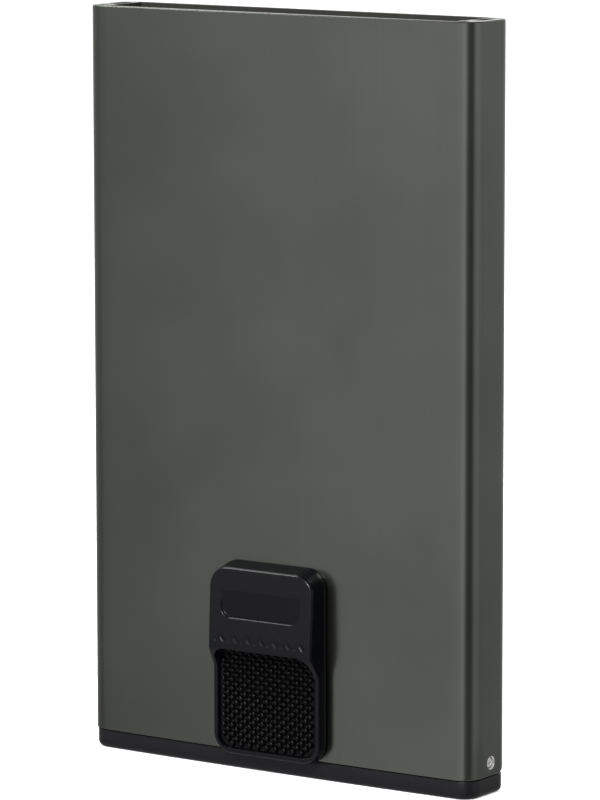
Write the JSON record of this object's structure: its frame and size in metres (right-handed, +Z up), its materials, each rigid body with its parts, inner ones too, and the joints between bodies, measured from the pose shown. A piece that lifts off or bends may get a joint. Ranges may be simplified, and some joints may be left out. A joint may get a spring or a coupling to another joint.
{
  "type": "minimalist wallet",
  "caption": "Slim upright card case: an extruded aluminium sleeve on a base cap, with a thumb slider on its front that pushes the cards up out of the open top.",
  "frame": {"origin": "middle of the base's underside, on the mid-plane of the sleeve's thickness", "axes": "+Z up towards the open rim, -Y out of the front face with the slider, +X to the right as seen from the front"},
  "size_m": [0.061, 0.0133, 0.1004],
  "materials": {
    "anodised_shell": "bead-blasted gunmetal anodising, satin, with bare bright cut ends",
    "cap_plastic": "satin black",
    "slider_plastic": "satin black with fine spark grain",
    "insert_plastic": "matt dark grey",
    "pad_rubber": "matt with small pointed bumps",
    "carriage_plate": "fine brushed",
    "screw_steel": "stainless, lightly textured",
    "spring_steel": "rolled strip",
    "shoe_plastic": "natural white, slippery",
    "soft_black": "matt black"
  },
  "bodies": {
    "case": {"shell": "anodised_shell", "base_cap": "cap_plastic", "base_insert": "insert_plastic", "side_screw_left": "screw_steel", "side_screw_right": "screw_steel", "grip_strip_left": "soft_black", "grip_strip_right": "soft_black", "stop_bumper_left": "soft_black", "stop_bumper_right": "soft_black"},
    "slider": {"slider_button": "slider_plastic", "grip_pad": "pad_rubber", "carriage": "carriage_plate", "lifter": "insert_plastic", "slider_screw_left": "screw_steel", "slider_screw_right": "screw_steel", "lifter_screw_left": "screw_steel", "lifter_screw_right": "screw_steel", "glide_shoe_lower_left": "shoe_plastic", "glide_shoe_lower_right": "shoe_plastic", "glide_shoe_upper_left": "shoe_plastic", "glide_shoe_upper_right": "shoe_plastic", "detent_spring_left": "spring_steel", "detent_spring_right": "spring_steel"}
  },
  "joints": [
    {"name": "slider_slide", "type": "slide", "parent": "case", "child": "slider", "axis": [0, 0, 1], "range_m": [0, 0.0185]}
  ]
}
